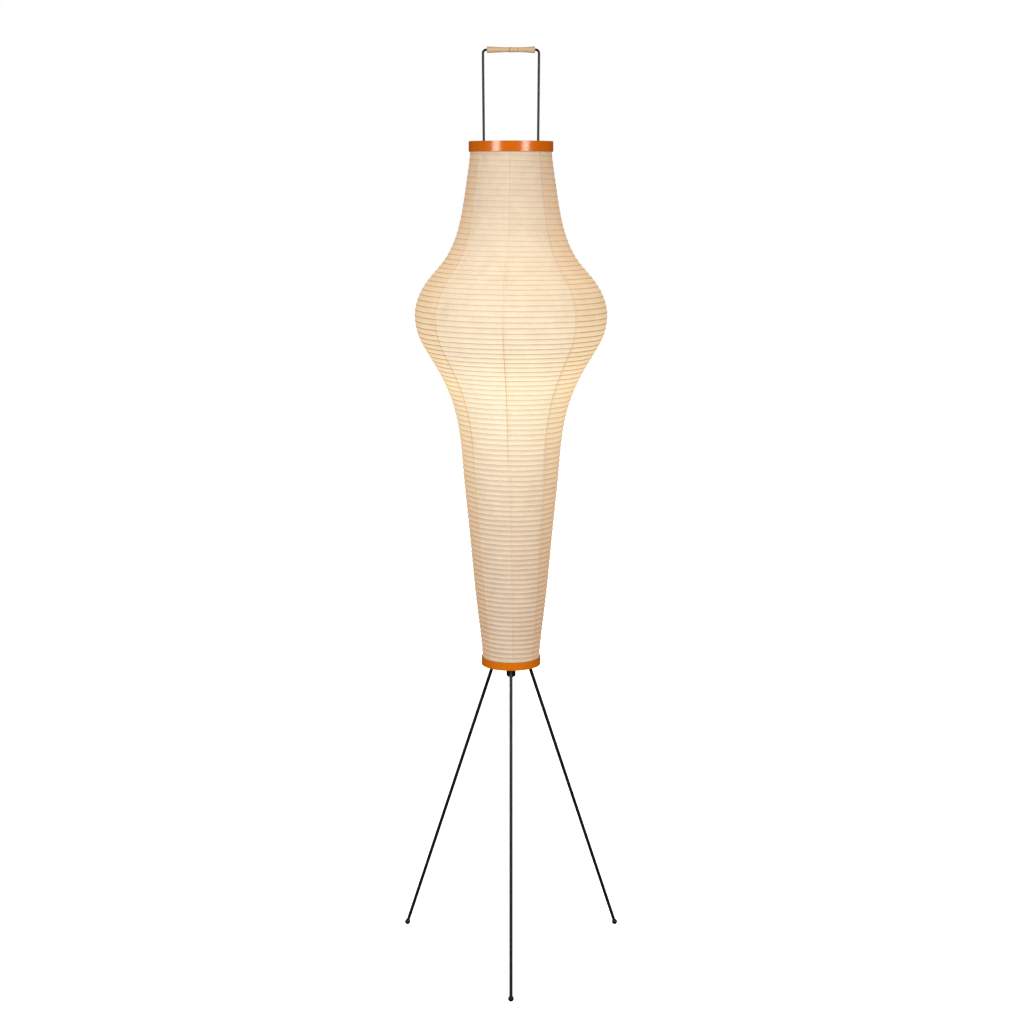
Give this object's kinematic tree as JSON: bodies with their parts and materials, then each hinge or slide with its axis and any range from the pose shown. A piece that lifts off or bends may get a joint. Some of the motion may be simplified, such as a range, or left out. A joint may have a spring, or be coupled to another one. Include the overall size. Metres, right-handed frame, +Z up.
{
  "type": "paper lantern floor lamp",
  "caption": "Tall ribbed paper lantern with a bulge near the top, held by a wire frame that ends in a carrying handle, on thin splayed rod legs with ball feet.",
  "frame": {"origin": "the point on the floor under the lantern's vertical axis, in the plane that the ball feet stand on", "axes": "+Z is up along the lantern's axis, X runs along the handle's grip, and one leg points along -Y, towards the front"},
  "size_m": [0.392, 0.3879, 1.57],
  "materials": {
    "washi_paper": "matt translucent washi",
    "bamboo_rib": "split bamboo",
    "bamboo_grip": "scraped bamboo, light varnish",
    "orange_lacquer": "glossy orange lacquer",
    "black_steel": "semi-gloss black",
    "black_rubber": "matt black",
    "zinc_steel": "zinc plated",
    "black_plastic": "black moulded",
    "porcelain": "unglazed porcelain",
    "brass": "bare brass",
    "bulb_cap_metal": "nickel plated",
    "solder": "solder",
    "white_plastic": "white moulded",
    "opal_globe": "opal diffuser, lit",
    "circuit_board": "white solder mask"
  },
  "bodies": {
    "base": {"bottom_ring": "orange_lacquer", "centre_contact": "brass", "cord_gland": "black_plastic", "frame_socket_left": "black_steel", "frame_socket_right": "black_steel", "handle_frame": "black_steel", "holder_cap": "black_plastic", "holder_insulator": "porcelain", "holder_sleeve": "black_plastic", "leg_boss_back_left": "black_steel", "leg_boss_back_right": "black_steel", "leg_boss_front": "black_steel", "paper_gore_1": "washi_paper", "paper_gore_2": "washi_paper", "paper_gore_3": "washi_paper", "paper_gore_4": "washi_paper", "paper_gore_5": "washi_paper", "paper_gore_6": "washi_paper", "paper_gore_7": "washi_paper", "paper_gore_8": "washi_paper", "rib_hoops": "bamboo_rib", "screw_shell": "brass", "spider_plate": "black_steel", "stem_nut_lower": "zinc_steel", "stem_nut_upper": "zinc_steel", "stem_tube": "zinc_steel"},
    "shade_top": {"top_ring": "orange_lacquer", "ring_eye_left": "black_steel", "ring_eye_right": "black_steel"},
    "grip": {"handle_grip": "bamboo_grip"},
    "bulb_tip": {"bulb_tip": "solder", "bulb_insulator": "black_plastic"},
    "bulb": {"bulb_cap": "bulb_cap_metal", "bulb_housing": "white_plastic", "bulb_globe": "opal_globe", "led_board": "circuit_board", "driver_board": "circuit_board"},
    "leg_front": {"leg_front": "black_steel", "foot_front": "black_rubber"},
    "leg_back_left": {"leg_back_left": "black_steel", "foot_back_left": "black_rubber"},
    "leg_back_right": {"leg_back_right": "black_steel", "foot_back_right": "black_rubber"}
  },
  "joints": [
    {"name": "shade_fold", "type": "slide", "parent": "base", "child": "shade_top", "axis": [0, 0, -1], "range_m": [0, 0.64], "deforming": ["paper_gore_1", "paper_gore_2", "paper_gore_3", "paper_gore_4", "paper_gore_5", "paper_gore_6", "paper_gore_7", "paper_gore_8", "rib_hoops"]},
    {"name": "grip_turn", "type": "hinge", "parent": "base", "child": "grip", "pos_m": [0, 0, 1.5645], "axis": [1, 0, 0], "continuous": true},
    {"name": "bulb_rise", "type": "slide", "parent": "base", "child": "bulb_tip", "axis": [0, 0, 1], "range_m": [0, 0.022]},
    {"name": "bulb_turn", "type": "hinge", "parent": "bulb_tip", "child": "bulb", "pos_m": [0, 0, 1], "axis": [0, 0, 1], "range_deg": [0, 2160]},
    {"name": "leg_front_pull", "type": "slide", "parent": "base", "child": "leg_front", "axis": [0, -0.3379, -0.9412], "range_m": [0, 0.045]},
    {"name": "leg_back_left_pull", "type": "slide", "parent": "base", "child": "leg_back_left", "axis": [-0.2926, 0.1689, -0.9412], "range_m": [0, 0.045]},
    {"name": "leg_back_right_pull", "type": "slide", "parent": "base", "child": "leg_back_right", "axis": [0.2926, 0.1689, -0.9412], "range_m": [0, 0.045]}
  ],
  "couplings": [
    {"joint": "bulb_rise", "follows": "bulb_turn", "m_per_rad": 0.00057757}
  ]
}
